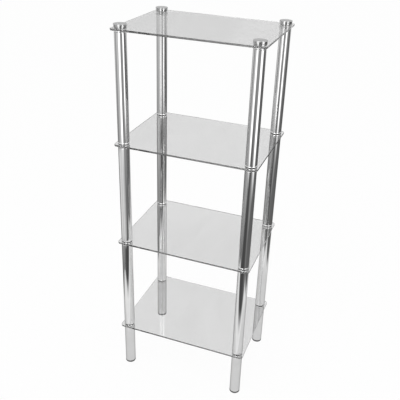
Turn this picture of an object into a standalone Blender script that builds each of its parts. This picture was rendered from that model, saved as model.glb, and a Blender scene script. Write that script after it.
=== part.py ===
# Rectangular glass shelf unit: four glass plates clamped between chrome tubes on four posts.
# Metres, +Z up. The front faces -Y and the origin is on the floor under the middle of the unit.

import math

import bpy

# Glass shelves
SHELF_WIDTH = 0.410
SHELF_DEPTH = 0.300
GLASS_THICKNESS = 0.005
SHELF_CORNER_RADIUS = 0.010

# Post tubes, with each post's axis set in from the edges of the glass
POST_INSET = 0.0215
TUBE_DIAMETER = 0.032
TUBE_WALL = 0.0012
RISER_LENGTH = 0.300
LEG_LENGTH = 0.1425

# End plugs: a collar that shows between tube and glass, and a shank inside the tube
COLLAR_HEIGHT = 0.0045
COLLAR_CHAMFER = 0.0008
PLUG_DEPTH = 0.018

# Threaded studs, drawn at their outer diameter
STUD_DIAMETER = 0.008
THREAD_ENGAGEMENT = 0.014

# Screw caps on the top shelf, which flare a little from the glass up
CAP_BASE_DIAMETER = 0.0330
CAP_TOP_DIAMETER = 0.0356
CAP_HEIGHT = 0.0102
CAP_CHAMFER = 0.0010

# Foot plugs
FOOT_HEIGHT = 0.0035
FOOT_CHAMFER = 0.0006

# Clearances
SEAT_GAP = 0.0003
PLUG_CLEARANCE = 0.0003
THREAD_CLEARANCE = 0.0003
HOLE_CLEARANCE = 0.0010

# Facets of round pieces, holes and shelf corners
TURN_SEGMENTS = 20
HOLE_SEGMENTS = 16
CORNER_SEGMENTS = 5
SHARP_ANGLE = math.radians(30)
SCREW_MERGE = 0.00001

# Radii and heights that follow from the sizes above
TUBE_RADIUS = TUBE_DIAMETER / 2
BORE_RADIUS = TUBE_RADIUS - TUBE_WALL
SHANK_RADIUS = BORE_RADIUS - PLUG_CLEARANCE
STUD_RADIUS = STUD_DIAMETER / 2
SOCKET_RADIUS = STUD_RADIUS + THREAD_CLEARANCE
HOLE_RADIUS = STUD_RADIUS + HOLE_CLEARANCE
CAP_BASE_RADIUS = CAP_BASE_DIAMETER / 2
CAP_TOP_RADIUS = CAP_TOP_DIAMETER / 2
PLUG_LENGTH = SEAT_GAP + PLUG_DEPTH
STUD_LENGTH = SEAT_GAP + GLASS_THICKNESS + SEAT_GAP + THREAD_ENGAGEMENT
POST_X = SHELF_WIDTH / 2 - POST_INSET
POST_Y = SHELF_DEPTH / 2 - POST_INSET
JOINT_STACK = GLASS_THICKNESS + 2 * COLLAR_HEIGHT + 4 * SEAT_GAP
TIER_PITCH = RISER_LENGTH + JOINT_STACK
LEG_BOTTOM = FOOT_HEIGHT + SEAT_GAP
LEG_TOP = LEG_BOTTOM + LEG_LENGTH

# The tubes and the shelves that they carry, from the floor up
TUBE_NAMES = ("leg", "lower", "middle", "upper")
SHELF_NAMES = ("bottom", "lower", "upper", "top")


def tube_top(tier):
    return LEG_TOP + tier * TIER_PITCH


def socket_seat(tier):
    return tube_top(tier) + SEAT_GAP


def shelf_bottom(tier):
    return socket_seat(tier) + COLLAR_HEIGHT + SEAT_GAP


def shelf_seat(tier):
    return shelf_bottom(tier) + GLASS_THICKNESS + SEAT_GAP


def clear_scene():
    for old in list(bpy.data.objects):
        bpy.data.objects.remove(old, do_unlink=True)


def principled(name, colour, roughness, metallic, transmission=0.0):
    material = bpy.data.materials.new(name)
    material.use_nodes = True
    shader = material.node_tree.nodes["Principled BSDF"]
    shader.inputs["Base Color"].default_value = (*colour, 1.0)
    shader.inputs["Roughness"].default_value = roughness
    shader.inputs["Metallic"].default_value = metallic
    shader.inputs["Transmission Weight"].default_value = transmission
    return material


# A turned piece: its half profile in (radius, height), spun about Z.
# A solid profile starts and ends on the axis, and a bored one is a closed loop.
def turned_mesh(name, profile, material, bored=False):
    edges = [(i, i + 1) for i in range(len(profile) - 1)]
    if bored:
        edges.append((len(profile) - 1, 0))
    outline = bpy.data.meshes.new(name + "_profile")
    outline.from_pydata([(radius, 0.0, height) for radius, height in profile], edges, [])
    lathe = bpy.data.objects.new(name + "_lathe", outline)
    bpy.context.scene.collection.objects.link(lathe)
    screw = lathe.modifiers.new("Turn", "SCREW")
    screw.axis = "Z"
    screw.steps = TURN_SEGMENTS
    screw.render_steps = TURN_SEGMENTS
    screw.use_merge_vertices = True
    screw.merge_threshold = SCREW_MERGE
    bpy.context.view_layer.update()
    graph = bpy.context.evaluated_depsgraph_get()
    mesh = bpy.data.meshes.new_from_object(lathe.evaluated_get(graph))
    mesh.name = name
    mesh.shade_smooth()
    mesh.set_sharp_from_angle(angle=SHARP_ANGLE)
    mesh.materials.append(material)
    bpy.data.objects.remove(lathe, do_unlink=True)
    return mesh


# The outer side of a collar whose foot is at the given height, from its top face down
def collar_profile(foot):
    top = foot + COLLAR_HEIGHT
    return [
        (TUBE_RADIUS - COLLAR_CHAMFER, top),
        (TUBE_RADIUS, top - COLLAR_CHAMFER),
        (TUBE_RADIUS, foot + COLLAR_CHAMFER),
        (TUBE_RADIUS - COLLAR_CHAMFER, foot),
    ]


# A tube from its bottom end, at height 0, to its top end
def tube_mesh(name, length, material):
    profile = [
        (BORE_RADIUS, length),
        (TUBE_RADIUS, length),
        (TUBE_RADIUS, 0.0),
        (BORE_RADIUS, 0.0),
    ]
    return turned_mesh(name, profile, material, bored=True)


# The plug in a tube's top end, with its collar's foot at height 0 and its shank below
def socket_mesh(material):
    profile = [(SOCKET_RADIUS, COLLAR_HEIGHT)]
    profile += collar_profile(0.0)
    profile += [
        (SHANK_RADIUS, 0.0),
        (SHANK_RADIUS, -PLUG_LENGTH),
        (SOCKET_RADIUS, -PLUG_LENGTH),
    ]
    return turned_mesh("socket_plug", profile, material, bored=True)


# The plug in a riser's bottom end, with its collar's foot at height 0 and its stud below
def stud_mesh(material):
    shank_top = COLLAR_HEIGHT + PLUG_LENGTH
    profile = [
        (0.0, shank_top),
        (SHANK_RADIUS, shank_top),
        (SHANK_RADIUS, COLLAR_HEIGHT),
    ]
    profile += collar_profile(0.0)
    profile += [
        (STUD_RADIUS, 0.0),
        (STUD_RADIUS, -STUD_LENGTH),
        (0.0, -STUD_LENGTH),
    ]
    return turned_mesh("stud_plug", profile, material)


# A screw cap with its lower face at height 0 and its stud below
def cap_mesh(material):
    profile = [
        (0.0, CAP_HEIGHT),
        (CAP_TOP_RADIUS - CAP_CHAMFER, CAP_HEIGHT),
        (CAP_TOP_RADIUS, CAP_HEIGHT - CAP_CHAMFER),
        (CAP_BASE_RADIUS, 0.0),
        (STUD_RADIUS, 0.0),
        (STUD_RADIUS, -STUD_LENGTH),
        (0.0, -STUD_LENGTH),
    ]
    return turned_mesh("screw_cap", profile, material)


# A foot plug, standing on the floor at height 0
def foot_mesh(material):
    shank_top = FOOT_HEIGHT + PLUG_LENGTH
    profile = [
        (0.0, shank_top),
        (SHANK_RADIUS, shank_top),
        (SHANK_RADIUS, FOOT_HEIGHT),
        (TUBE_RADIUS, FOOT_HEIGHT),
        (TUBE_RADIUS, FOOT_CHAMFER),
        (TUBE_RADIUS - FOOT_CHAMFER, 0.0),
        (0.0, 0.0),
    ]
    return turned_mesh("foot_plug", profile, material)


# Points along an arc, both ends included
def arc_points(centre, radius, start, sweep, segments):
    angles = [start + sweep * i / segments for i in range(segments + 1)]
    return [(centre[0] + radius * math.cos(a), centre[1] + radius * math.sin(a)) for a in angles]


def add_outline(curve, points):
    spline = curve.splines.new("POLY")
    spline.points.add(len(points) - 1)
    for target, (x, y) in zip(spline.points, points):
        target.co = (x, y, 0.0, 1.0)
    spline.use_cyclic_u = True


# A glass plate with rounded corners and a stud hole at each post, centred on height 0
def shelf_curve(material):
    curve = bpy.data.curves.new("glass_plate", "CURVE")
    curve.dimensions = "2D"
    curve.fill_mode = "BOTH"
    curve.extrude = GLASS_THICKNESS / 2
    corner_x = SHELF_WIDTH / 2 - SHELF_CORNER_RADIUS
    corner_y = SHELF_DEPTH / 2 - SHELF_CORNER_RADIUS
    quarter = math.pi / 2
    rim = []
    for turn, (x_sign, y_sign) in enumerate(((1, 1), (-1, 1), (-1, -1), (1, -1))):
        centre = (x_sign * corner_x, y_sign * corner_y)
        rim += arc_points(centre, SHELF_CORNER_RADIUS, turn * quarter, quarter, CORNER_SEGMENTS)
    add_outline(curve, rim)
    for x in (-POST_X, POST_X):
        for y in (-POST_Y, POST_Y):
            hole = arc_points((x, y), HOLE_RADIUS, 0.0, 2 * math.pi, HOLE_SEGMENTS)
            add_outline(curve, hole[:-1])
    curve.materials.append(material)
    return curve


def add_part(collection, name, data, parent, height):
    part = bpy.data.objects.new(name, data)
    part.parent = parent
    part.location = (0.0, 0.0, height)
    collection.objects.link(part)


def add_empty(collection, name, parent, location):
    empty = bpy.data.objects.new(name, None)
    empty.parent = parent
    empty.location = location
    collection.objects.link(empty)
    return empty


clear_scene()
unit = bpy.data.collections.new("glass_shelf_unit")
bpy.context.scene.collection.children.link(unit)
frame = add_empty(unit, "unit_frame", None, (0.0, 0.0, 0.0))

tube_chrome = principled("tube_chrome", (0.78, 0.78, 0.79), 0.08, 1.0)
plug_chrome = principled("plug_chrome", (0.80, 0.80, 0.81), 0.10, 1.0)
cap_chrome = principled("cap_chrome", (0.76, 0.76, 0.77), 0.10, 1.0)
foot_plastic = principled("foot_plastic", (0.42, 0.42, 0.42), 0.45, 0.0)
clear_glass = principled("clear_glass", (0.86, 0.88, 0.87), 0.02, 0.0, transmission=1.0)

riser_tube = tube_mesh("riser_tube", RISER_LENGTH, tube_chrome)
leg_tube = tube_mesh("leg_tube", LEG_LENGTH, tube_chrome)
socket_plug = socket_mesh(plug_chrome)
stud_plug = stud_mesh(plug_chrome)
screw_cap = cap_mesh(cap_chrome)
foot_plug = foot_mesh(foot_plastic)
glass_plate = shelf_curve(clear_glass)

for tier, shelf in enumerate(SHELF_NAMES):
    add_part(unit, shelf + "_shelf", glass_plate, frame, shelf_bottom(tier) + GLASS_THICKNESS / 2)

for depth, y_sign in (("front", -1), ("back", 1)):
    for side, x_sign in (("left", -1), ("right", 1)):
        corner = depth + "_" + side
        post = add_empty(unit, "post_" + corner, frame, (x_sign * POST_X, y_sign * POST_Y, 0.0))
        add_part(unit, "foot_" + corner, foot_plug, post, 0.0)
        add_part(unit, "leg_tube_" + corner, leg_tube, post, LEG_BOTTOM)
        for tier, tube in enumerate(TUBE_NAMES):
            add_part(unit, tube + "_socket_" + corner, socket_plug, post, socket_seat(tier))
        for below, tube in enumerate(TUBE_NAMES[1:]):
            add_part(unit, tube + "_stud_" + corner, stud_plug, post, shelf_seat(below))
            riser_bottom = shelf_seat(below) + COLLAR_HEIGHT + SEAT_GAP
            add_part(unit, tube + "_tube_" + corner, riser_tube, post, riser_bottom)
        add_part(unit, "cap_" + corner, screw_cap, post, shelf_seat(len(SHELF_NAMES) - 1))
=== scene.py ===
# Looks of a rectangular glass shelf unit: chrome tube posts, screwed joints and four glass shelves.
# Metres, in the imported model's own frame: +Z up, front towards -Y, origin on the floor under the middle.
import math

import bmesh
import bpy
from mathutils import Matrix, Vector


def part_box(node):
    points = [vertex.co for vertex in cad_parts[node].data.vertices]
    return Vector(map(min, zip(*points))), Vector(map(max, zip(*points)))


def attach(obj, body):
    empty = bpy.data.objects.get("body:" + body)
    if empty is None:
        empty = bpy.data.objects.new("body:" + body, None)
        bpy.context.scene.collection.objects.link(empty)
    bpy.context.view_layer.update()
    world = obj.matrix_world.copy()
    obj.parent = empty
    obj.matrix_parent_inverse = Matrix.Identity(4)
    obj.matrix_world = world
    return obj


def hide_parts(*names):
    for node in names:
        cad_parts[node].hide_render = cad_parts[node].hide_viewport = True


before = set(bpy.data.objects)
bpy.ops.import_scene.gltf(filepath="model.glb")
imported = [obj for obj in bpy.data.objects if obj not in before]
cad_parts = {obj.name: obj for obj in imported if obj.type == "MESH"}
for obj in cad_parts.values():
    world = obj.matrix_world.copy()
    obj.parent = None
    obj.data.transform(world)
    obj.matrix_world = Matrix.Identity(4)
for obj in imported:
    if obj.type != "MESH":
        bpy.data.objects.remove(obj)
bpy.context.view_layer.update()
cornerNames = ("front_left", "front_right", "back_left", "back_right")
tubeTiers = ("leg", "lower", "middle", "upper")    # tubes from the floor up
shelfTiers = ("bottom", "lower", "upper", "top")
print("frame loaded:", len(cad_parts), "nodes")


# Hand tools: selection, turning, threads and copies

weldSlack = 1e-6    # points nearer than this are one
pickSlack = 1e-5    # a face or point this far off its place is still picked
# Turning starts from a small plane that is merged to the profile's first point
turnSpec = {"start": 0.001, "roundSteps": 5, "smoothAngle": 38.0}


def clearSelection():
    if bpy.context.mode != "OBJECT":
        bpy.ops.object.mode_set(mode="OBJECT")
    bpy.ops.object.select_all(action="DESELECT")


def pickVerts(piece, test):
    bpy.ops.mesh.select_mode(type="VERT")
    bpy.ops.mesh.select_all(action="DESELECT")
    shape = bmesh.from_edit_mesh(piece.data)
    for vert in shape.verts:
        vert.select_set(test(vert.co))
    shape.select_flush_mode()
    bmesh.update_edit_mesh(piece.data)


def applyModifier(piece, kind, **settings):
    modifier = piece.modifiers.new(kind.title(), kind)
    for name, value in settings.items():
        setattr(modifier, name, value)
    bpy.context.view_layer.objects.active = piece
    bpy.ops.object.modifier_apply(modifier=modifier.name)


# A turned piece: the half profile is drawn point by point, its corners are rounded, then it is spun.
# Each point is (radius, height, rounding). A bored piece closes its profile in a loop.
# A run between two heights at one radius can be cut into short rings, for a thread.
def turnPiece(name, points, sides, bored=False, rings=None):
    clearSelection()
    bpy.ops.mesh.primitive_plane_add(size=turnSpec["start"], location=(0, 0, 0))
    piece = bpy.context.object
    piece.name = name
    bpy.ops.object.mode_set(mode="EDIT")
    bpy.ops.mesh.select_all(action="SELECT")
    bpy.ops.mesh.merge(type="CENTER")
    bpy.ops.transform.translate(value=(points[0][0], 0, points[0][1]))
    path = points + points[:1] if bored else points
    for last, here in zip(path, path[1:]):
        step = (here[0] - last[0], 0, here[1] - last[1])
        bpy.ops.mesh.extrude_region_move(TRANSFORM_OT_translate={"value": step})
    bpy.ops.mesh.select_all(action="SELECT")
    bpy.ops.mesh.remove_doubles(threshold=weldSlack)
    for radius, height, rounding in points:
        if rounding:
            spot = Vector((radius, 0, height))
            pickVerts(piece, lambda co: (co - spot).length < weldSlack)
            bpy.ops.mesh.bevel(offset=rounding, segments=turnSpec["roundSteps"], affect="VERTICES")
    if rings:
        low, high, radius, cuts = rings
        reach = (low - weldSlack, high + weldSlack)
        pickVerts(piece, lambda co: abs(co.x - radius) < weldSlack and reach[0] < co.z < reach[1])
        bpy.ops.mesh.subdivide(number_cuts=cuts)
    bpy.ops.mesh.select_all(action="SELECT")
    bpy.ops.mesh.spin(steps=sides, angle=math.tau, center=(0, 0, 0), axis=(0, 0, 1))
    bpy.ops.mesh.select_all(action="SELECT")
    bpy.ops.mesh.remove_doubles(threshold=weldSlack)
    bpy.ops.mesh.normals_make_consistent(inside=False)
    bpy.ops.object.mode_set(mode="OBJECT")
    bpy.ops.object.shade_smooth_by_angle(angle=math.radians(turnSpec["smoothAngle"]))
    return piece


# Pushes the rings of a stud or a bore in along a helix, with the thread run out at both ends.
# Height is taken from the underside of the glass, so that a stud and its socket mesh.
def cutThread(piece, low, high, radius, underGlass, spec):
    for vert in piece.data.vertices:
        around = math.hypot(vert.co.x, vert.co.y)
        if abs(around - radius) > pickSlack or not low < vert.co.z < high:
            continue
        turn = (vert.co.z - underGlass) / spec["pitch"] - math.atan2(vert.co.y, vert.co.x) / math.tau
        groove = 1 - abs(2 * (turn % 1.0) - 1)
        runOut = min(1.0, (vert.co.z - low) / spec["runOut"], (high - vert.co.z) / spec["runOut"])
        pushed = (around - spec["depth"] * groove * runOut) / around
        vert.co.x *= pushed
        vert.co.y *= pushed


def placeCopy(master, node, shift):
    piece = master.copy()
    piece.data = master.data.copy()
    piece.name = node + "_look"
    piece.data.name = piece.name
    piece.data.transform(Matrix.Translation(shift))
    bpy.context.scene.collection.objects.link(piece)
    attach(piece, "root")
    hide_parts(node)


def dropMaster(master):
    bpy.data.objects.remove(master, do_unlink=True)


# Material tools

def newMaterial(name):
    material = bpy.data.materials.new(name)
    material.use_nodes = True
    return material, material.node_tree, material.node_tree.nodes["Principled BSDF"]


def addNode(tree, kind, place, **settings):
    node = tree.nodes.new(kind)
    node.location = place
    for name, value in settings.items():
        setattr(node, name, value)
    return node


def setInputs(node, **values):
    for name, value in values.items():
        node.inputs[name.replace("_", " ")].default_value = value


def setRange(node, source, target):
    setInputs(node, From_Min=source[0], From_Max=source[1], To_Min=target[0], To_Max=target[1])


def grey(level):
    return (level, level, level, 1)


def greyRamp(tree, place, stops, levels):
    ramp = addNode(tree, "ShaderNodeValToRGB", place)
    for element, stop, level in zip(ramp.color_ramp.elements, stops, levels):
        element.position = stop
        element.color = grey(level)
    return ramp


def groupSockets(group, inputs, outputs):
    for way, names in (("INPUT", inputs), ("OUTPUT", outputs)):
        for name in names:
            group.interface.new_socket(name, in_out=way, socket_type="NodeSocketFloat")


markSpec = {
    "lines": {"Detail": 4.0, "Roughness": 0.62},
    "blotches": {"Detail": 5.0, "Roughness": 0.55, "Distortion": 0.6},
    "toneStops": (0.30, 0.70), "glossStops": (0.30, 0.75),
}


# Drawn polish lines along Z, and the soft blotches of handling, from a piece's own coordinates
def makePolishGroup():
    group = bpy.data.node_groups.new("polishAndHandling", "ShaderNodeTree")
    groupSockets(group, ("Line Scale", "Line Stretch", "Blotch Scale"), ("Lines", "Blotches"))
    entry = addNode(group, "NodeGroupInput", (-900, 0))
    leave = addNode(group, "NodeGroupOutput", (500, 0))
    coords = addNode(group, "ShaderNodeTexCoord", (-900, 260))
    stretch = addNode(group, "ShaderNodeCombineXYZ", (-700, 60))
    setInputs(stretch, X=1.0, Y=1.0)
    drawn = addNode(group, "ShaderNodeVectorMath", (-480, 200), operation="MULTIPLY")
    lines = addNode(group, "ShaderNodeTexNoise", (-240, 200))
    setInputs(lines, **markSpec["lines"])
    blotches = addNode(group, "ShaderNodeTexNoise", (-240, -160))
    setInputs(blotches, **markSpec["blotches"])
    group.links.new(entry.outputs["Line Stretch"], stretch.inputs["Z"])
    group.links.new(coords.outputs["Object"], drawn.inputs[0])
    group.links.new(stretch.outputs["Vector"], drawn.inputs[1])
    group.links.new(drawn.outputs["Vector"], lines.inputs["Vector"])
    group.links.new(entry.outputs["Line Scale"], lines.inputs["Scale"])
    group.links.new(coords.outputs["Object"], blotches.inputs["Vector"])
    group.links.new(entry.outputs["Blotch Scale"], blotches.inputs["Scale"])
    group.links.new(lines.outputs["Fac"], leave.inputs["Lines"])
    group.links.new(blotches.outputs["Fac"], leave.inputs["Blotches"])
    return group


polishGroup = makePolishGroup()


# Plated metal: reflectance and gloss vary with the polish lines and the handling marks
def platedMetal(name, spec):
    material, tree, shader = newMaterial(name)
    marks = addNode(tree, "ShaderNodeGroup", (-900, 0), node_tree=polishGroup)
    setInputs(marks, Line_Scale=spec["lineScale"], Line_Stretch=spec["lineStretch"])
    setInputs(marks, Blotch_Scale=spec["blotchScale"])
    tone = greyRamp(tree, (-560, 240), markSpec["toneStops"], (spec["dull"], spec["bright"]))
    gloss = addNode(tree, "ShaderNodeMapRange", (-560, -60))
    setRange(gloss, markSpec["glossStops"], spec["gloss"])
    haze = addNode(tree, "ShaderNodeMath", (-320, -60), operation="MULTIPLY_ADD")
    haze.inputs[1].default_value = spec["haze"]
    bump = addNode(tree, "ShaderNodeBump", (-320, -300))
    setInputs(bump, Strength=spec["bump"], Distance=spec["bumpDepth"])
    tree.links.new(marks.outputs["Blotches"], tone.inputs["Fac"])
    tree.links.new(marks.outputs["Lines"], gloss.inputs["Value"])
    tree.links.new(marks.outputs["Blotches"], haze.inputs[0])
    tree.links.new(gloss.outputs["Result"], haze.inputs[2])
    tree.links.new(marks.outputs["Lines"], bump.inputs["Height"])
    tree.links.new(tone.outputs["Color"], shader.inputs["Base Color"])
    tree.links.new(haze.outputs["Value"], shader.inputs["Roughness"])
    tree.links.new(bump.outputs["Normal"], shader.inputs["Normal"])
    setInputs(shader, Metallic=1.0, Specular_Tint=grey(spec["edgeTone"]))
    return material


tubeChrome = platedMetal("tubeChrome", {
    "lineScale": 520.0, "lineStretch": 0.010, "blotchScale": 24.0,
    "dull": 0.720, "bright": 0.760, "gloss": (0.020, 0.055), "haze": 0.020,
    "bump": 0.60, "bumpDepth": 0.00006, "edgeTone": 0.45,
})
plugChrome = platedMetal("plugChrome", {
    "lineScale": 1400.0, "lineStretch": 1.0, "blotchScale": 60.0,
    "dull": 0.840, "bright": 0.900, "gloss": (0.030, 0.070), "haze": 0.020,
    "bump": 0.06, "bumpDepth": 0.00003, "edgeTone": 1.0,
})
plugZinc = platedMetal("plugZinc", {
    "lineScale": 700.0, "lineStretch": 1.0, "blotchScale": 90.0,
    "dull": 0.420, "bright": 0.540, "gloss": (0.260, 0.420), "haze": 0.060,
    "bump": 0.20, "bumpDepth": 0.00005, "edgeTone": 1.0,
})
capChrome = platedMetal("capChrome", {
    "lineScale": 1200.0, "lineStretch": 0.08, "blotchScale": 50.0,
    "dull": 0.500, "bright": 0.550, "gloss": (0.100, 0.160), "haze": 0.030,
    "bump": 0.08, "bumpDepth": 0.00003, "edgeTone": 1.0,
})


grainSpec = {
    "grain": {"Detail": 3.0, "Roughness": 0.6}, "clouds": {"Detail": 4.0},
    "toneStops": (0.30, 0.72), "glossStops": (0.30, 0.70),
}


# Moulded plastic or rubber with a fine spark-eroded grain, for feet, seals, and the near-black lip whose
# black is painted gap shade
def mouldedPlastic(name, spec):
    material, tree, shader = newMaterial(name)
    coords = addNode(tree, "ShaderNodeTexCoord", (-900, 0))
    grain = addNode(tree, "ShaderNodeTexNoise", (-660, -120))
    setInputs(grain, Scale=spec["grainScale"], **grainSpec["grain"])
    clouds = addNode(tree, "ShaderNodeTexNoise", (-660, 160))
    setInputs(clouds, Scale=spec["cloudScale"], **grainSpec["clouds"])
    tone = greyRamp(tree, (-400, 200), grainSpec["toneStops"], (spec["dark"], spec["pale"]))
    gloss = addNode(tree, "ShaderNodeMapRange", (-400, -40))
    setRange(gloss, grainSpec["glossStops"], spec["gloss"])
    bump = addNode(tree, "ShaderNodeBump", (-400, -300))
    setInputs(bump, Strength=spec["bump"], Distance=spec["bumpDepth"])
    tree.links.new(coords.outputs["Object"], grain.inputs["Vector"])
    tree.links.new(coords.outputs["Object"], clouds.inputs["Vector"])
    tree.links.new(clouds.outputs["Fac"], tone.inputs["Fac"])
    tree.links.new(grain.outputs["Fac"], gloss.inputs["Value"])
    tree.links.new(grain.outputs["Fac"], bump.inputs["Height"])
    tree.links.new(tone.outputs["Color"], shader.inputs["Base Color"])
    tree.links.new(gloss.outputs["Result"], shader.inputs["Roughness"])
    tree.links.new(bump.outputs["Normal"], shader.inputs["Normal"])
    return material


footPlastic = mouldedPlastic("footPlastic", {
    "grainScale": 2600.0, "cloudScale": 60.0, "dark": 0.150, "pale": 0.190,
    "gloss": (0.40, 0.56), "bump": 0.25, "bumpDepth": 0.00006,
})
# Near-black, painted shade for the dark gap line between a riser's collar and the glass
paintedGapShade = mouldedPlastic("paintedGapShade", {
    "grainScale": 1500.0, "cloudScale": 140.0, "dark": 0.020, "pale": 0.035,
    "gloss": (0.45, 0.60), "bump": 0.15, "bumpDepth": 0.00004,
})
sealPlastic = mouldedPlastic("sealPlastic", {
    "grainScale": 1800.0, "cloudScale": 160.0, "dark": 0.860, "pale": 0.920,
    "gloss": (0.30, 0.42), "bump": 0.10, "bumpDepth": 0.00003,
})


# Glass: wiped smears in the gloss, a faint roller wave, a grey face tint that is painted shade, and a
# clearer polished rim.
# The tint stands for the pale room that the faces show to the eye, so what the chrome mirrors is clearer.
# The body absorbs a little, so a long path, as behind the front edge, turns dark.
glassSpec = {
    "faceShadeTint": (0.735, 0.785), "rimTint": (0.93, 0.97), "toneStops": (0.25, 0.75),
    "wipeStretch": (1.0, 0.35, 1.0),
    "smears": {"Scale": 9.0, "Detail": 6.0, "Roughness": 0.6, "Distortion": 0.8},
    "gloss": (0.0, 0.012), "glossStops": (0.45, 0.80), "rimGloss": 0.03,
    "wave": {"Scale": 7.0, "Detail": 1.0}, "bump": 0.05, "bumpDepth": 0.0004,
    "bodyTone": 0.5, "bodyDensity": 9.0, "mirrored": 0.85, "mirroredTint": 0.96, "bending": 1.52,
}


def shelfGlass(name, spec):
    material, tree, shader = newMaterial(name)
    coords = addNode(tree, "ShaderNodeTexCoord", (-1300, 0))
    rim = addNode(tree, "ShaderNodeAttribute", (-1300, 420), attribute_name="rim")
    wiped = addNode(tree, "ShaderNodeMapping", (-1080, 40))
    wiped.inputs["Scale"].default_value = spec["wipeStretch"]
    smears = addNode(tree, "ShaderNodeTexNoise", (-860, 80))
    setInputs(smears, **spec["smears"])
    wave = addNode(tree, "ShaderNodeTexNoise", (-860, -260))
    setInputs(wave, **spec["wave"])
    # The grey face tint is painted shade, standing for the room that the faces show
    faceShadeTone = greyRamp(tree, (-600, 260), spec["toneStops"], spec["faceShadeTint"])
    rimTone = greyRamp(tree, (-600, 520), spec["toneStops"], spec["rimTint"])
    tone = addNode(tree, "ShaderNodeMix", (-300, 380), data_type="RGBA")
    path = addNode(tree, "ShaderNodeLightPath", (-600, 800))
    mirrored = addNode(tree, "ShaderNodeMath", (-380, 760), operation="MINIMUM")
    mirrored.inputs[1].default_value = spec["mirrored"]
    seen = addNode(tree, "ShaderNodeMix", (-100, 420), data_type="RGBA")
    setInputs(seen, B=grey(spec["mirroredTint"]))
    gloss = addNode(tree, "ShaderNodeMapRange", (-600, -20))
    setRange(gloss, spec["glossStops"], spec["gloss"])
    rimGloss = addNode(tree, "ShaderNodeMath", (-380, 60), operation="MULTIPLY_ADD")
    rimGloss.inputs[1].default_value = spec["rimGloss"]
    bump = addNode(tree, "ShaderNodeBump", (-600, -300))
    setInputs(bump, Strength=spec["bump"], Distance=spec["bumpDepth"])
    body = addNode(tree, "ShaderNodeVolumeAbsorption", (100, -400))
    setInputs(body, Color=grey(spec["bodyTone"]), Density=spec["bodyDensity"])
    tree.links.new(coords.outputs["Object"], wiped.inputs["Vector"])
    tree.links.new(wiped.outputs["Vector"], smears.inputs["Vector"])
    tree.links.new(coords.outputs["Object"], wave.inputs["Vector"])
    tree.links.new(smears.outputs["Fac"], faceShadeTone.inputs["Fac"])
    tree.links.new(smears.outputs["Fac"], rimTone.inputs["Fac"])
    tree.links.new(rim.outputs["Fac"], tone.inputs["Factor"])
    tree.links.new(faceShadeTone.outputs["Color"], tone.inputs["A"])
    tree.links.new(rimTone.outputs["Color"], tone.inputs["B"])
    tree.links.new(smears.outputs["Fac"], gloss.inputs["Value"])
    tree.links.new(rim.outputs["Fac"], rimGloss.inputs[0])
    tree.links.new(gloss.outputs["Result"], rimGloss.inputs[2])
    tree.links.new(wave.outputs["Fac"], bump.inputs["Height"])
    tree.links.new(path.outputs["Glossy Depth"], mirrored.inputs[0])
    tree.links.new(mirrored.outputs["Value"], seen.inputs["Factor"])
    tree.links.new(tone.outputs["Result"], seen.inputs["A"])
    tree.links.new(seen.outputs["Result"], shader.inputs["Base Color"])
    tree.links.new(rimGloss.outputs["Value"], shader.inputs["Roughness"])
    tree.links.new(bump.outputs["Normal"], shader.inputs["Normal"])
    tree.links.new(body.outputs["Volume"], tree.nodes["Material Output"].inputs["Volume"])
    setInputs(shader, Metallic=0.0, IOR=spec["bending"], Transmission_Weight=1.0)
    return material


clearGlass = shelfGlass("clearGlass", glassSpec)
print("materials:", len(bpy.data.materials))


# Tubes

# The hold is how far from each end a loop keeps the tube's shading straight
tubeSpec = {"wall": 0.0012, "rimRound": 0.0003, "hold": 0.0015, "sides": 96}


def makeTube(name, node):
    low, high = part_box(node)
    outer = (high.x - low.x) / 2
    bore = outer - tubeSpec["wall"]
    length = high.z - low.z
    hold = tubeSpec["hold"]
    rim = tubeSpec["rimRound"]
    outline = [
        (outer, length - hold, 0), (outer, hold, 0), (outer, 0, rim), (bore, 0, rim),
        (bore, hold, 0), (bore, length - hold, 0), (bore, length, rim), (outer, length, rim),
    ]
    tube = turnPiece(name, outline, tubeSpec["sides"], bored=True)
    tube.data.materials.append(tubeChrome)
    return tube


def postAxis(corner):
    low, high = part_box("leg_tube_" + corner)
    return (low.x + high.x) / 2, (low.y + high.y) / 2


riserTube = makeTube("riserTube", "upper_tube_front_left")
legTube = makeTube("legTube", "leg_tube_front_left")
for corner in cornerNames:
    for tier in tubeTiers:
        node = tier + "_tube_" + corner
        master = legTube if tier == "leg" else riserTube
        placeCopy(master, node, (*postAxis(corner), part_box(node)[0].z))
tubeRadius = (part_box("leg_tube_front_left")[1].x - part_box("leg_tube_front_left")[0].x) / 2
tubeBore = tubeRadius - tubeSpec["wall"]
dropMaster(riserTube)
dropMaster(legTube)
print("tubes: 16")


# Plugs, caps and feet. Plugs and feet fit the tube's bore, and plugs and caps share one M8 thread.
# A pale seal lies between metal and glass, with a sleeve that lines the drilled hole.
# A riser's collar also has a near-black lip under it, which is thicker at the bottom shelf; its black is
# painted shade for the gap between collar and glass.

threadSpec = {"radius": 0.0040, "clearance": 0.0003, "pitch": 0.00125, "depth": 0.00065, "runOut": 0.0012}
# A finished collar fills its seat gap at the tube and at the glass by closeUp
plugSpec = {"shankClearance": 0.0003, "shankRound": 0.0008, "mouthRound": 0.0005,
            "socketRounds": (0.0022, 0.0022), "studRounds": (0.0016, 0.0014),
            "lipRadius": 0.0159, "lipRound": 0.0002,
            "lipHeights": {"lower": 0.0015, "middle": 0.0006, "upper": 0.0006},
            "grooveRadius": 0.0142, "grooveHeight": 0.0002, "seatGap": 0.0003, "closeUp": 0.00022,
            "sides": 96, "ringCuts": 95}
sealSpec = {"outer": 0.0135, "inner": 0.0056, "sleeve": 0.00502, "sleeveEnd": 0.0004, "sink": 0.00003}
shankRadius = tubeBore - plugSpec["shankClearance"]
boreRadius = threadSpec["radius"] + threadSpec["clearance"]
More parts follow.
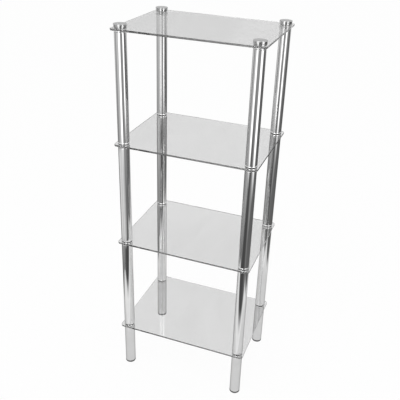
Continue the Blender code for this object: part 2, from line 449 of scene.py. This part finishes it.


# Polished finish where the piece shows, pale plastic on seal and sleeve, painted gap shade in near-black on
# the lip under the collar, and dull zinc inside the tube or on the thread
def plateParts(piece, finish, onShow, onSeal, onLip=lambda height, away: False):
    finishes = (finish, plugZinc, sealPlastic, paintedGapShade)
    for material in finishes:
        piece.data.materials.append(material)
    for face in piece.data.polygons:
        spot = face.center.z, math.hypot(face.center.x, face.center.y)
        if onSeal(*spot):
            worn = sealPlastic
        elif onLip(*spot):
            worn = paintedGapShade
        else:
            worn = finish if onShow(*spot) else plugZinc
        face.material_index = finishes.index(worn)


# The socket in a tube's top end: local height 0 is the tube's end, and the glass is above
def makeSocket():
    low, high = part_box("upper_socket_front_left")
    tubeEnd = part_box("upper_tube_front_left")[1].z
    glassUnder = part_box("top_shelf")[0].z - tubeEnd
    bottom = low.z - tubeEnd
    collarLow = (glassUnder - (high.z - tubeEnd)) - plugSpec["closeUp"]
    collarHigh = high.z - tubeEnd + plugSpec["closeUp"]
    mouth = plugSpec["mouthRound"]
    sealTop = glassUnder + sealSpec["sink"]
    outline = [
        (boreRadius, collarHigh, mouth),
        (sealSpec["inner"], collarHigh, 0),
        (sealSpec["inner"], sealTop, 0),
        (sealSpec["outer"], sealTop, 0),
        (sealSpec["outer"], collarHigh, 0),
        (tubeRadius, collarHigh, plugSpec["socketRounds"][1]),
        (tubeRadius, collarLow, plugSpec["socketRounds"][0]),
        (shankRadius, collarLow, 0),
        (shankRadius, bottom, plugSpec["shankRound"]),
        (boreRadius, bottom, mouth),
    ]
    threadLow = bottom + mouth
    threadHigh = collarHigh - mouth
    rings = (threadLow, threadHigh, boreRadius, plugSpec["ringCuts"])
    socket = turnPiece("socketPlug", outline, plugSpec["sides"], bored=True, rings=rings)
    cutThread(socket, threadLow, threadHigh, boreRadius, glassUnder, threadSpec)
    plateParts(
        socket, plugChrome,
        lambda height, away: height > collarLow - pickSlack and away > sealSpec["inner"],
        lambda height, away: height > collarHigh + pickSlack,
    )
    return socket


# A screw that goes down through the glass: the head's outline, then seal, sleeve and thread
def turnScrew(name, head, seat, glassTop, bottom):
    stud = threadSpec["radius"]
    tip = plugSpec["shankRound"]
    sealLow = glassTop - sealSpec["sink"]
    outline = head + [
        (sealSpec["outer"], seat, 0),
        (sealSpec["outer"], sealLow, 0),
        (sealSpec["sleeve"], sealLow, 0),
        (sealSpec["sleeve"], sealSpec["sleeveEnd"], 0),
        (stud, sealSpec["sleeveEnd"], 0),
        (stud, bottom, tip),
        (0, bottom, 0),
    ]
    rings = (bottom + tip, sealSpec["sleeveEnd"], stud, plugSpec["ringCuts"])
    screw = turnPiece(name, outline, plugSpec["sides"], rings=rings)
    cutThread(screw, bottom + tip, sealSpec["sleeveEnd"], stud, 0.0, threadSpec)
    return screw


# The stud in a riser's bottom end: local height 0 is the glass's underside, as for the cap
def makeStud(name, lipHeight):
    low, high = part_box("upper_stud_front_left")
    glassLow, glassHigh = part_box("upper_shelf")
    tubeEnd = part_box("upper_tube_front_left")[0].z - glassLow.z
    bottom = low.z - glassLow.z
    top = high.z - glassLow.z
    glassTop = glassHigh.z - glassLow.z
    collarLow = glassTop + plugSpec["seatGap"] - plugSpec["closeUp"]
    collarHigh = tubeEnd - plugSpec["seatGap"] + plugSpec["closeUp"]
    lipTop = collarLow + lipHeight
    beadLow = lipTop + plugSpec["grooveHeight"]
    outline = [
        (0, top, 0),
        (shankRadius, top, plugSpec["shankRound"]),
        (shankRadius, collarHigh, 0),
        (tubeRadius, collarHigh, plugSpec["studRounds"][0]),
        (tubeRadius, beadLow, plugSpec["studRounds"][1]),
        (plugSpec["grooveRadius"], beadLow, 0),
        (plugSpec["grooveRadius"], lipTop, 0),
        (plugSpec["lipRadius"], lipTop, plugSpec["lipRound"]),
        (plugSpec["lipRadius"], collarLow, plugSpec["lipRound"]),
    ]
    piece = turnScrew(name, outline, collarLow, glassTop, bottom)
    plateParts(
        piece, plugChrome,
        lambda height, away: collarLow - pickSlack < height < collarHigh + pickSlack and away > shankRadius,
        lambda height, away: height < collarLow - pickSlack and away > boreRadius,
        lambda height, away: collarLow - pickSlack < height < beadLow - pickSlack,
    )
    return piece


socketPlug = makeSocket()
for corner in cornerNames:
    for tier in tubeTiers:
        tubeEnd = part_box(tier + "_tube_" + corner)[1].z
        placeCopy(socketPlug, tier + "_socket_" + corner, (*postAxis(corner), tubeEnd))
dropMaster(socketPlug)
for tier, below in zip(tubeTiers[1:], shelfTiers):
    studPlug = makeStud(tier + "Stud", plugSpec["lipHeights"][tier])
    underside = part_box(below + "_shelf")[0].z
    for corner in cornerNames:
        placeCopy(studPlug, tier + "_stud_" + corner, (*postAxis(corner), underside))
    dropMaster(studPlug)
print("plugs: 28")


capSpec = {"baseRadius": 0.0165, "topRadius": 0.0178, "edgeRound": 0.0011, "baseRound": 0.0003,
           "crown": 0.00025, "crownParts": 3, "hold": 0.0025}    # one part of the crown lies above the hold


# A screw cap: local height 0 is the glass's underside
def makeCap():
    low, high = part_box("cap_front_left")
    glassLow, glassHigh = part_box("top_shelf")
    bottom = low.z - glassLow.z
    top = high.z - glassLow.z
    glassTop = glassHigh.z - glassLow.z
    seat = glassTop + plugSpec["seatGap"] - plugSpec["closeUp"]
    outline = [
        (0, top, 0),
        (capSpec["topRadius"] - capSpec["hold"], top - capSpec["crown"] / capSpec["crownParts"], 0),
        (capSpec["topRadius"], top - capSpec["crown"], capSpec["edgeRound"]),
        (capSpec["baseRadius"], seat, capSpec["baseRound"]),
    ]
    cap = turnScrew("screwCap", outline, seat, glassTop, bottom)
    plateParts(
        cap, capChrome,
        lambda height, away: height > seat - pickSlack,
        lambda height, away: height < seat - pickSlack and away > boreRadius,
    )
    return cap


screwCap = makeCap()
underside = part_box("top_shelf")[0].z
for corner in cornerNames:
    placeCopy(screwCap, "cap_" + corner, (*postAxis(corner), underside))
dropMaster(screwCap)
print("caps: 4")


footSpec = {"floorRound": 0.0006, "topRound": 0.0003, "leadIn": 0.0012, "sides": 96}


def makeFoot():
    low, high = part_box("foot_front_left")
    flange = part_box("leg_tube_front_left")[0].z - plugSpec["seatGap"] + plugSpec["closeUp"]
    outline = [
        (0, high.z, 0),
        (shankRadius, high.z, footSpec["leadIn"]),
        (shankRadius, flange, 0),
        (tubeRadius, flange, footSpec["topRound"]),
        (tubeRadius, low.z, footSpec["floorRound"]),
        (0, low.z, 0),
    ]
    foot = turnPiece("footPlug", outline, footSpec["sides"])
    foot.data.materials.append(footPlastic)
    return foot


footPlug = makeFoot()
for corner in cornerNames:
    placeCopy(footPlug, "foot_" + corner, (*postAxis(corner), 0.0))
dropMaster(footPlug)
print("feet: 4")


# Glass shelves

shelfSpec = {"cornerRadius": 0.010, "cornerSteps": 16, "holeRadius": 0.005, "holeSides": 64,
             "drillReach": 3, "arris": 0.0005, "arrisSteps": 3, "arrisAngle": 40.0,
             "smoothAngle": 12.0, "flatFrom": 0.999}


def makeShelf():
    low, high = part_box("bottom_shelf")
    thick = high.z - low.z
    clearSelection()
    bpy.ops.mesh.primitive_plane_add(size=1, location=(0, 0, 0))
    shelf = bpy.context.object
    shelf.name = "glassShelf"
    bpy.ops.object.mode_set(mode="EDIT")
    bpy.ops.mesh.select_all(action="SELECT")
    bpy.ops.transform.resize(value=(high.x - low.x, high.y - low.y, 1))
    bpy.ops.mesh.bevel(
        offset=shelfSpec["cornerRadius"], segments=shelfSpec["cornerSteps"], affect="VERTICES",
    )
    bpy.ops.mesh.select_all(action="SELECT")
    bpy.ops.mesh.extrude_region_move(TRANSFORM_OT_translate={"value": (0, 0, thick)})
    bpy.ops.mesh.select_all(action="SELECT")
    bpy.ops.mesh.normals_make_consistent(inside=False)
    clearSelection()
    drills = []
    for corner in cornerNames:
        bpy.ops.object.select_all(action="DESELECT")
        bpy.ops.mesh.primitive_cylinder_add(
            vertices=shelfSpec["holeSides"], radius=shelfSpec["holeRadius"],
            depth=shelfSpec["drillReach"] * thick, location=(*postAxis(corner), thick / 2),
        )
        drills.append(bpy.context.object)
    for drill in drills:
        drill.select_set(True)
    bpy.ops.object.join()
    drill = bpy.context.object
    applyModifier(shelf, "BOOLEAN", object=drill, operation="DIFFERENCE", solver="EXACT")
    dropMaster(drill)
    applyModifier(
        shelf, "BEVEL", width=shelfSpec["arris"], segments=shelfSpec["arrisSteps"],
        limit_method="ANGLE", angle_limit=math.radians(shelfSpec["arrisAngle"]),
    )
    clearSelection()
    shelf.select_set(True)
    bpy.context.view_layer.objects.active = shelf
    bpy.ops.object.shade_smooth_by_angle(angle=math.radians(shelfSpec["smoothAngle"]))
    shelf.data.materials.clear()
    shelf.data.materials.append(clearGlass)
    rim = shelf.data.attributes.new("rim", "FLOAT", "FACE")
    for face in shelf.data.polygons:
        face.material_index = 0
        rim.data[face.index].value = 0.0 if abs(face.normal.z) > shelfSpec["flatFrom"] else 1.0
    return shelf


glassShelf = makeShelf()
for tier in shelfTiers:
    placeCopy(glassShelf, tier + "_shelf", (0, 0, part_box(tier + "_shelf")[0].z))
dropMaster(glassShelf)
print("shelves: 4")


# Stage: a pale floor for the view, and soft cards that only show in reflections, as in a studio.
# White paper lies under the unit, with a dimmer patch of painted shadow right beneath it, on a room floor
# that is dark close by and paler far off.
# Two boards stand near the camera, with two lamps beyond them, walls, and two reflectors by one post.

cameraSpec = {"place": (0.5362, -1.4789, 1.4304), "heading": 18.89, "downTilt": 27.27, "roll": 2.33,
              "lens": 53.285, "sensor": 36.0, "shift": (-0.0253, -0.0250)}

floorSpec = {"side": 60.0, "albedo": 0.93, "roughness": 0.9, "glow": 0.95}
# Floor cards, from the bottom one up. Each is turned from the X axis, then reaches across to the right
# and towards the camera from the unit's middle.
viewTurn = cameraSpec["heading"]
floorCards = {
    "room": {"turn": viewTurn, "across": (-12.0, 12.0), "towards": (-12.0, 12.0),
             "soft": (0.1, 0.1), "glow": 0.33},
    "leftRoom": {"turn": viewTurn, "across": (-12.0, -1.2), "towards": (0.7, 12.0),
                 "soft": (1.2, 2.4), "glow": 0.70},
    "frontGap": {"turn": viewTurn, "across": (-0.64, 0.40), "towards": (-4.0, 2.6),
                 "soft": (0.6, 3.0), "glow": 0.08},
    "rightRoom": {"turn": viewTurn, "across": (0.55, 12.0), "towards": (-12.0, 1.0),
                  "soft": (0.28, 0.28), "glow": 0.15},
    "farLeft": {"turn": viewTurn, "across": (-9.0, -1.5), "towards": (-9.0, -1.3),
                "soft": (0.8, 0.8), "glow": 0.85},
    "farRight": {"turn": viewTurn, "across": (1.0, 8.0), "towards": (-10.0, -2.6),
                 "soft": (0.6, 0.8), "glow": 0.90},
    "paperCorner": {"turn": 0.0, "across": (-0.60, -0.22), "towards": (0.20, 0.56), "soft": (0.20, 0.12),
                    "glow": 1.0, "reach": 0.64},
    "paper": {"turn": 10.0, "across": (-0.54, 0.69), "towards": (-8.0, 0.505),
              "soft": (0.12, 0.16), "glow": 0.99},
    # The next card is painted shadow: a dimmer patch of paper under the unit, for the shade the unit casts
    # there, as the chrome mirrors it
    "paperPaintedShadow": {"turn": 0.0, "across": (-0.50, 0.60), "towards": (-0.34, 0.30),
                  "soft": (0.14, 0.08), "glow": 0.81},
}
# A card without a reach of its own is seen from anywhere.
# A ray that has met a shiny surface has a glossy depth of 1 or more.
cardSpec = {"step": 0.0008, "reach": 100.0, "shinyFrom": 0.5}
boards = {
    "leftBoard": {"place": (-0.14, -0.885), "turn": 1.5, "wide": 0.46, "low": 0.42, "high": 1.15,
                  "soft": (0.13, 0.22), "glow": 1.75},
    "rightBoard": {"place": (0.71, -0.355), "turn": 74.5, "wide": 0.39, "low": 0.50, "high": 1.15,
                   "soft": (0.12, 0.28), "glow": 1.75},
    "leftLamp": {"place": (-0.24, -1.73), "turn": -8.0, "wide": 0.95, "low": 1.75, "high": 3.10,
                 "soft": (0.20, 0.20), "glow": 5.5},
    "rightLamp": {"place": (1.56, -0.79), "turn": 63.0, "wide": 0.95, "low": 1.75, "high": 3.10,
                  "soft": (0.20, 0.20), "glow": 5.5},
    "backWall": {"place": (-2.0, 5.6), "turn": viewTurn, "wide": 9.0, "low": -1.0, "high": 4.00,
                 "soft": (1.0, 0.60), "glow": 0.71},
    "backRoom": {"place": (-2.2, 6.2), "turn": viewTurn, "wide": 12.0, "low": -1.0, "high": 9.0,
                 "soft": (1.0, 1.0), "glow": 0.50},
    "frontRoom": {"place": (1.94, -5.68), "turn": viewTurn, "wide": 14.0, "low": 0.2, "high": 6.0,
                  "soft": (1.0, 0.4), "glow": 0.45},
    "leftReflector": {"place": (-0.508, -0.260), "turn": -65.0, "wide": 0.36, "low": 0.25, "high": 0.625,
                      "soft": (0.10, 0.05), "glow": 0.85, "reach": 0.50},
    "frontReflector": {"place": (-0.2135, -0.3485), "turn": 0.0, "wide": 0.24, "low": 0.33, "high": 0.69,
                       "soft": ((0.08, 0.40), 0.04), "glow": 0.85, "reach": 0.34},
}


# A card's two ends can fade over different lengths
def endFades(soft):
    return soft if isinstance(soft, tuple) else (soft, soft)


def smoothEdge(tree, source, row, half, soft):
    span = addNode(tree, "ShaderNodeMath", (-400, row), operation="MULTIPLY")
    for end, fade, socket in zip((-half, half), endFades(soft), span.inputs):
        edge = addNode(tree, "ShaderNodeMapRange", (-600, row - 150 * (end > 0)))
        edge.interpolation_type = "SMOOTHSTEP"
        setRange(edge, (end - fade / 2, end + fade / 2), (end > 0, end < 0))
        tree.links.new(source, edge.inputs["Value"])
        tree.links.new(edge.outputs["Result"], socket)
    return span.outputs["Value"]


# Glowing only for rays that have met a shiny surface nearer than the card's reach, with edges that fade out
def cardGlow(name, half, soft, glow, reach):
    material, tree, shader = newMaterial(name)
    tree.nodes.remove(shader)
    coords = addNode(tree, "ShaderNodeTexCoord", (-1000, 0))
    split = addNode(tree, "ShaderNodeSeparateXYZ", (-800, 0))
    path = addNode(tree, "ShaderNodeLightPath", (-400, 400))
    mirrored = addNode(tree, "ShaderNodeMath", (-200, 400), operation="GREATER_THAN")
    mirrored.inputs[1].default_value = cardSpec["shinyFrom"]
    near = addNode(tree, "ShaderNodeMath", (-200, 600), operation="LESS_THAN")
    near.inputs[1].default_value = reach
    area = addNode(tree, "ShaderNodeMath", (-200, 0), operation="MULTIPLY")
    met = addNode(tree, "ShaderNodeMath", (0, 400), operation="MULTIPLY")
    shown = addNode(tree, "ShaderNodeMath", (0, 200), operation="MULTIPLY")
    clear = addNode(tree, "ShaderNodeBsdfTransparent", (0, -100))
    light = addNode(tree, "ShaderNodeEmission", (0, -250))
    light.inputs["Strength"].default_value = glow
    mix = addNode(tree, "ShaderNodeMixShader", (250, 0))
    tree.links.new(coords.outputs["Object"], split.inputs["Vector"])
    tree.links.new(smoothEdge(tree, split.outputs["X"], 0, half[0], soft[0]), area.inputs[0])
    tree.links.new(smoothEdge(tree, split.outputs["Y"], -400, half[1], soft[1]), area.inputs[1])
    tree.links.new(path.outputs["Glossy Depth"], mirrored.inputs[0])
    tree.links.new(path.outputs["Ray Length"], near.inputs[0])
    tree.links.new(mirrored.outputs["Value"], met.inputs[0])
    tree.links.new(near.outputs["Value"], met.inputs[1])
    tree.links.new(met.outputs["Value"], shown.inputs[0])
    tree.links.new(area.outputs["Value"], shown.inputs[1])
    tree.links.new(shown.outputs["Value"], mix.inputs["Fac"])
    tree.links.new(clear.outputs["BSDF"], mix.inputs[1])
    tree.links.new(light.outputs["Emission"], mix.inputs[2])
    tree.links.new(mix.outputs["Shader"], tree.nodes["Material Output"].inputs["Surface"])
    return material


def addCard(name, middle, across, up, half, card):
    clearSelection()
    bpy.ops.mesh.primitive_plane_add(size=2, location=(0, 0, 0))
    sheet = bpy.context.object
    sheet.name = name
    bpy.ops.object.mode_set(mode="EDIT")
    bpy.ops.mesh.select_all(action="SELECT")
    wide, tall = (size + max(endFades(fade)) / 2 for size, fade in zip(half, card["soft"]))
    bpy.ops.transform.resize(value=(wide, tall, 1))
    bpy.ops.object.mode_set(mode="OBJECT")
    turn = Matrix((across, up, across.cross(up))).transposed().to_4x4()
    sheet.matrix_world = Matrix.Translation(middle) @ turn
    reach = card.get("reach", cardSpec["reach"])
    sheet.data.materials.append(cardGlow(name, half, card["soft"], card["glow"], reach))
    sheet.visible_camera = False
    sheet.visible_diffuse = False
    sheet.visible_shadow = False


# 1 for a ray that comes straight from the camera, by a mirror or through glass
def plainSight(tree):
    path = addNode(tree, "ShaderNodeLightPath", (-900, 300))
    shiny = addNode(tree, "ShaderNodeMath", (-680, 300), operation="MAXIMUM")
    seen = addNode(tree, "ShaderNodeMath", (-480, 300), operation="MAXIMUM")
    tree.links.new(path.outputs["Is Glossy Ray"], shiny.inputs[0])
    tree.links.new(path.outputs["Is Transmission Ray"], shiny.inputs[1])
    tree.links.new(path.outputs["Is Camera Ray"], seen.inputs[0])
    tree.links.new(shiny.outputs["Value"], seen.inputs[1])
    return seen.outputs["Value"]


def layFloor():
    clearSelection()
    bpy.ops.mesh.primitive_plane_add(size=floorSpec["side"], location=(0, 0, 0))
    floor = bpy.context.object
    floor.name = "paleFloor"
    material, tree, shader = newMaterial("paleFloor")
    setInputs(shader, Base_Color=grey(floorSpec["albedo"]), Roughness=floorSpec["roughness"])
    share = addNode(tree, "ShaderNodeMath", (-280, 300), operation="MULTIPLY")
    share.inputs[1].default_value = floorSpec["glow"]
    glow = addNode(tree, "ShaderNodeEmission", (0, -300))
    mix = addNode(tree, "ShaderNodeMixShader", (300, 100))
    tree.links.new(plainSight(tree), share.inputs[0])
    tree.links.new(share.outputs["Value"], mix.inputs["Fac"])
    tree.links.new(shader.outputs["BSDF"], mix.inputs[1])
    tree.links.new(glow.outputs["Emission"], mix.inputs[2])
    tree.links.new(mix.outputs["Shader"], tree.nodes["Material Output"].inputs["Surface"])
    floor.data.materials.append(material)


def layFloorCards():
    for layer, (name, card) in enumerate(floorCards.items(), 1):
        turn = math.radians(card["turn"])
        across = Vector((math.cos(turn), math.sin(turn), 0))
        back = Vector((-math.sin(turn), math.cos(turn), 0))
        rightLow, rightHigh = card["across"]
        frontLow, frontHigh = card["towards"]
        middle = across * (rightLow + rightHigh) / 2 - back * (frontLow + frontHigh) / 2
        middle.z = layer * cardSpec["step"]
        half = ((rightHigh - rightLow) / 2, (frontHigh - frontLow) / 2)
        addCard(name, middle, across, back, half, card)


def standBoards():
    for name, board in boards.items():
        turn = math.radians(board["turn"])
        across = Vector((math.cos(turn), math.sin(turn), 0))
        middle = Vector((*board["place"], (board["low"] + board["high"]) / 2))
        half = (board["wide"] / 2, (board["high"] - board["low"]) / 2)
        addCard(name, middle, across, Vector((0, 0, 1)), half, board)


worldSpec = {"seen": 1.0, "light": 0.80}
lampSpec = {"place": (-0.2, -1.5, 2.7), "aim": (0, 0, 0.55), "size": 1.4, "power": 16.0}
bounceSpec = {"all": 48, "glossy": 32, "through": 40}    # light travels far inside a glass edge


def makeLight():
    world = bpy.data.worlds.new("studio")
    bpy.context.scene.world = world
    world.use_nodes = True
    tree = world.node_tree
    level = addNode(tree, "ShaderNodeMapRange", (-280, 300))
    setInputs(level, To_Min=worldSpec["light"], To_Max=worldSpec["seen"])
    back = tree.nodes["Background"]
    setInputs(back, Color=grey(1))
    tree.links.new(plainSight(tree), level.inputs["Value"])
    tree.links.new(level.outputs["Result"], back.inputs["Strength"])
    lamp = bpy.data.lights.new("softbox", "AREA")
    lamp.size = lampSpec["size"]
    lamp.energy = lampSpec["power"]
    holder = bpy.data.objects.new("softbox", lamp)
    holder.location = lampSpec["place"]
    aim = Vector(lampSpec["aim"]) - holder.location
    holder.rotation_euler = aim.to_track_quat("-Z", "Y").to_euler()
    bpy.context.scene.collection.objects.link(holder)


def makeCamera():
    lens = bpy.data.cameras.new("photoView")
    lens.sensor_width = cameraSpec["sensor"]
    lens.lens = cameraSpec["lens"]
    lens.shift_x, lens.shift_y = cameraSpec["shift"]
    lens.dof.use_dof = False
    camera = bpy.data.objects.new("photoView", lens)
    turn = Matrix.Rotation(math.radians(cameraSpec["heading"]), 4, "Z")
    turn = turn @ Matrix.Rotation(math.radians(90 - cameraSpec["downTilt"]), 4, "X")
    turn = turn @ Matrix.Rotation(math.radians(cameraSpec["roll"]), 4, "Z")
    camera.matrix_world = Matrix.Translation(cameraSpec["place"]) @ turn
    bpy.context.scene.collection.objects.link(camera)
    bpy.context.scene.camera = camera


def setBounces():
    cycles = bpy.context.scene.cycles
    cycles.max_bounces = bounceSpec["all"]
    cycles.glossy_bounces = bounceSpec["glossy"]
    cycles.transmission_bounces = bounceSpec["through"]


layFloor()
layFloorCards()
standBoards()
makeLight()
makeCamera()
setBounces()
bpy.context.scene.view_settings.view_transform = "Standard"
print("stage, light and camera ready")
